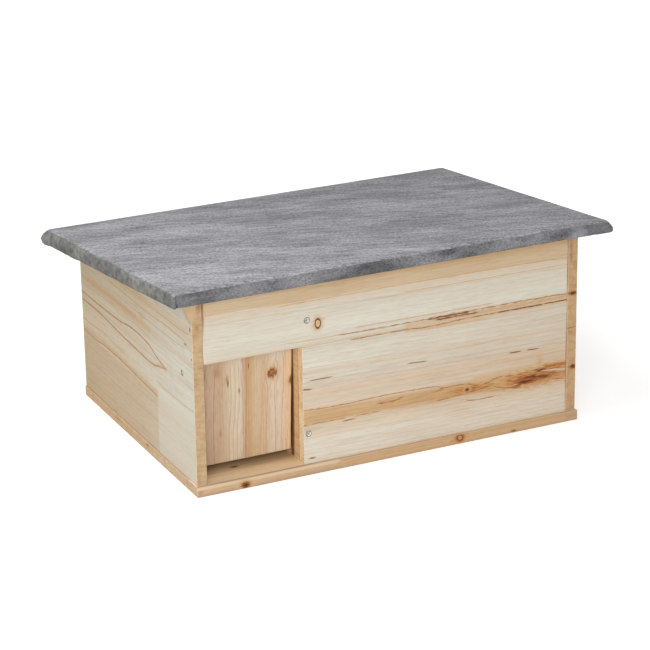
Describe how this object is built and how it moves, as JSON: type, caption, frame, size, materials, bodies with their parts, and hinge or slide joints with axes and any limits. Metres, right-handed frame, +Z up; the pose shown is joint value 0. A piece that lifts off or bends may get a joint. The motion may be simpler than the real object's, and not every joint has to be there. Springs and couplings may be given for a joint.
{
  "type": "hedgehog house",
  "caption": "Wooden hedgehog house with a walk-round labyrinth entrance, a hanging swing flap and a felt-covered sloping roof that lifts on hinges at the back.",
  "frame": {"origin": "middle of the base board's underside", "axes": "+X to the right seen from the front, +Y to the back, +Z up; the entrance faces -Y"},
  "size_m": [0.5286, 0.3908, 0.2401],
  "materials": {
    "wall_pine": "satin",
    "base_pine": "satin",
    "roofing_felt": "matte",
    "zinc_steel": "satin"
  },
  "bodies": {
    "house": {"base_board": "base_pine", "left_wall": "wall_pine", "right_wall": "wall_pine", "back_wall": "wall_pine", "front_upper_board": "wall_pine", "front_lower_board": "wall_pine", "partition_wall": "base_pine", "partition_screws": "zinc_steel", "flap_pivot_screws": "zinc_steel", "base_screws": "zinc_steel", "left_wall_brads": "zinc_steel", "right_wall_brads": "zinc_steel", "left_hinge_wall_leaf": "zinc_steel", "left_hinge_pin": "zinc_steel", "right_hinge_wall_leaf": "zinc_steel", "right_hinge_pin": "zinc_steel", "hinge_wall_screws": "zinc_steel"},
    "roof": {"roof_board": "base_pine", "roof_felt": "roofing_felt", "felt_tacks": "zinc_steel", "left_hinge_roof_leaf": "zinc_steel", "right_hinge_roof_leaf": "zinc_steel", "hinge_roof_screws": "zinc_steel"},
    "flap": {"entrance_flap": "wall_pine"}
  },
  "joints": [
    {"name": "roof_hinge", "type": "hinge", "parent": "house", "child": "roof", "pos_m": [0, 0.1713, 0.18654], "axis": [-1, 0, 0], "range_deg": [0, 92]},
    {"name": "flap_swing", "type": "hinge", "parent": "house", "child": "flap", "pos_m": [-0.165, -0.13248, 0.1315], "axis": [1, 0, 0], "range_deg": [-104, 120]}
  ]
}
